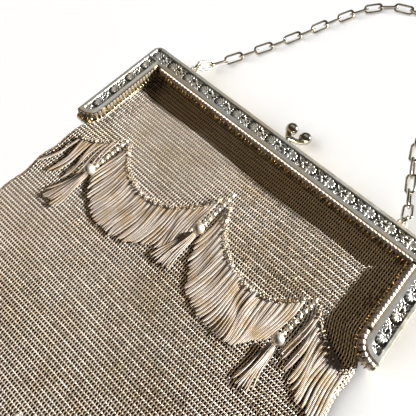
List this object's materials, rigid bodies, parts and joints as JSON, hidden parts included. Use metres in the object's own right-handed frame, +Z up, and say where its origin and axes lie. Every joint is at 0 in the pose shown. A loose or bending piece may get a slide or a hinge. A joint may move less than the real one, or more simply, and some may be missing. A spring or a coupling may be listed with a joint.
{
  "type": "ring mesh purse",
  "caption": "Hinged-frame purse of silver-coloured ring mesh with a relief front, kiss-lock clasp, link chain and scalloped fringe with bead drops and tassels, lying on its back.",
  "frame": {"origin": "centre of the base of the whole purse as it lies on its back, its chain laid out beyond the bar", "axes": "+X along the frame's bar, +Y from the foot of the bag to the chain, +Z up out of the relief face"},
  "size_m": [0.1666, 0.3322, 0.0126],
  "materials": {
    "frame_metal": "worn satin nickel silver with dark tarnish in the relief",
    "polished_metal": "bright polished nickel silver",
    "ring_mesh": "small linked rings of warm nickel silver wire",
    "fringe_metal": "fine strands of warm nickel silver rings"
  },
  "bodies": {
    "root": {"frame_front": "frame_metal", "frame_back": "frame_metal", "hinge_pin_left": "frame_metal", "hinge_pin_right": "frame_metal", "clasp_knob_front": "polished_metal", "clasp_knob_back": "polished_metal", "chain": "polished_metal", "mesh_bag": "ring_mesh", "upper_half_swag_left": "fringe_metal", "upper_swag_left": "fringe_metal", "upper_swag_right": "fringe_metal", "upper_half_swag_right": "fringe_metal", "upper_bead_string_left": "polished_metal", "upper_bead_string_centre": "polished_metal", "upper_bead_string_right": "polished_metal", "upper_ball_left": "polished_metal", "upper_ball_centre": "polished_metal", "upper_ball_right": "polished_metal", "upper_tassel_left": "fringe_metal", "upper_tassel_centre": "fringe_metal", "upper_tassel_right": "fringe_metal", "lower_half_swag_left": "fringe_metal", "lower_swag_left": "fringe_metal", "lower_swag_right": "fringe_metal", "lower_half_swag_right": "fringe_metal", "lower_bead_string_left": "polished_metal", "lower_bead_string_centre": "polished_metal", "lower_bead_string_right": "polished_metal", "lower_ball_left": "polished_metal", "lower_ball_centre": "polished_metal", "lower_ball_right": "polished_metal", "lower_tassel_left": "fringe_metal", "lower_tassel_centre": "fringe_metal", "lower_tassel_right": "fringe_metal"}
  },
  "joints": []
}
